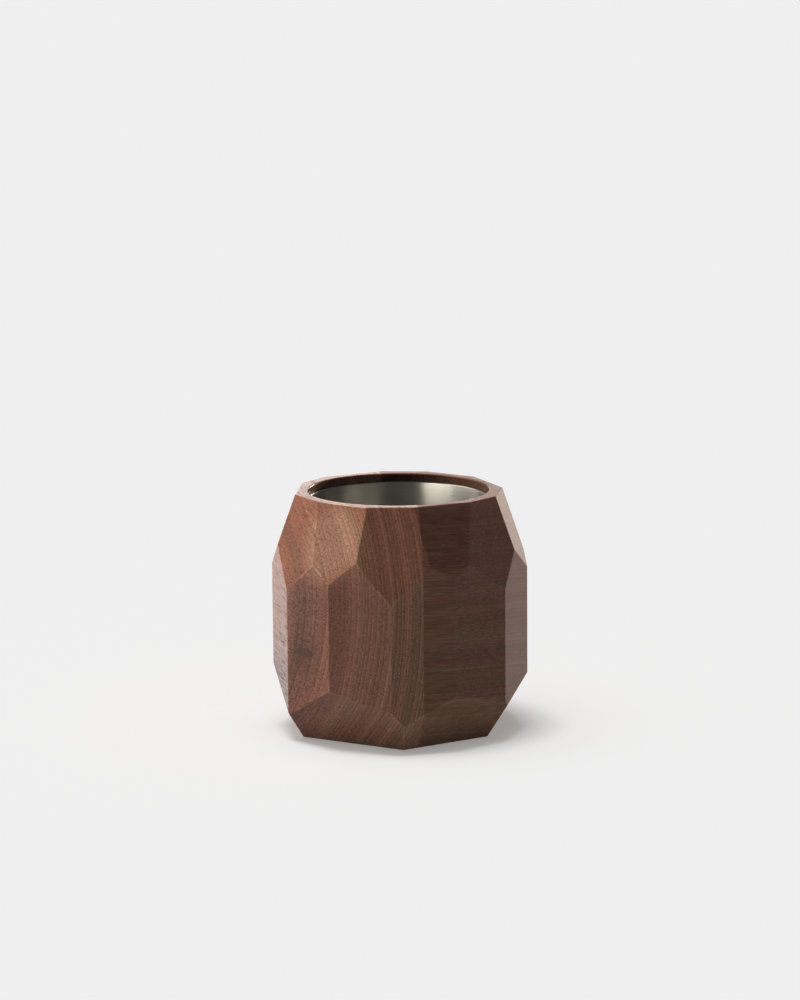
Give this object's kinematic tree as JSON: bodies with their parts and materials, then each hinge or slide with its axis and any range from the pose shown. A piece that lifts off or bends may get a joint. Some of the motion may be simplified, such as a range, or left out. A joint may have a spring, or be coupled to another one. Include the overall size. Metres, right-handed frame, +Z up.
{
  "type": "pen holder",
  "caption": "Faceted walnut pen holder: a glued wooden block with a round bored well, a lift-out drawn steel cup standing in it, and a thin cork pad let into the base.",
  "frame": {"origin": "centre of the underside of the cork pad, on the axis of the well, where the holder meets the desk", "axes": "+Z up along the well; -Y is the front facet that the glue line crosses; the glue line is the plane x = 0, with the left half on -X"},
  "size_m": [0.0904, 0.09, 0.0885],
  "materials": {
    "walnut_left": "oiled, satin, end grain to the front",
    "walnut_right": "oiled, satin, level streaks to the front",
    "satin_steel": "satin, turned marks round the wall",
    "cork": "matte agglomerated cork"
  },
  "bodies": {
    "block": {"left_half": "walnut_left", "right_half": "walnut_right", "base_pad": "cork"},
    "cup": {"liner_cup": "satin_steel"}
  },
  "joints": [
    {"name": "cup_lift", "type": "slide", "parent": "block", "child": "cup", "axis": [0, 0, 1], "range_m": [0, 0.09]}
  ]
}
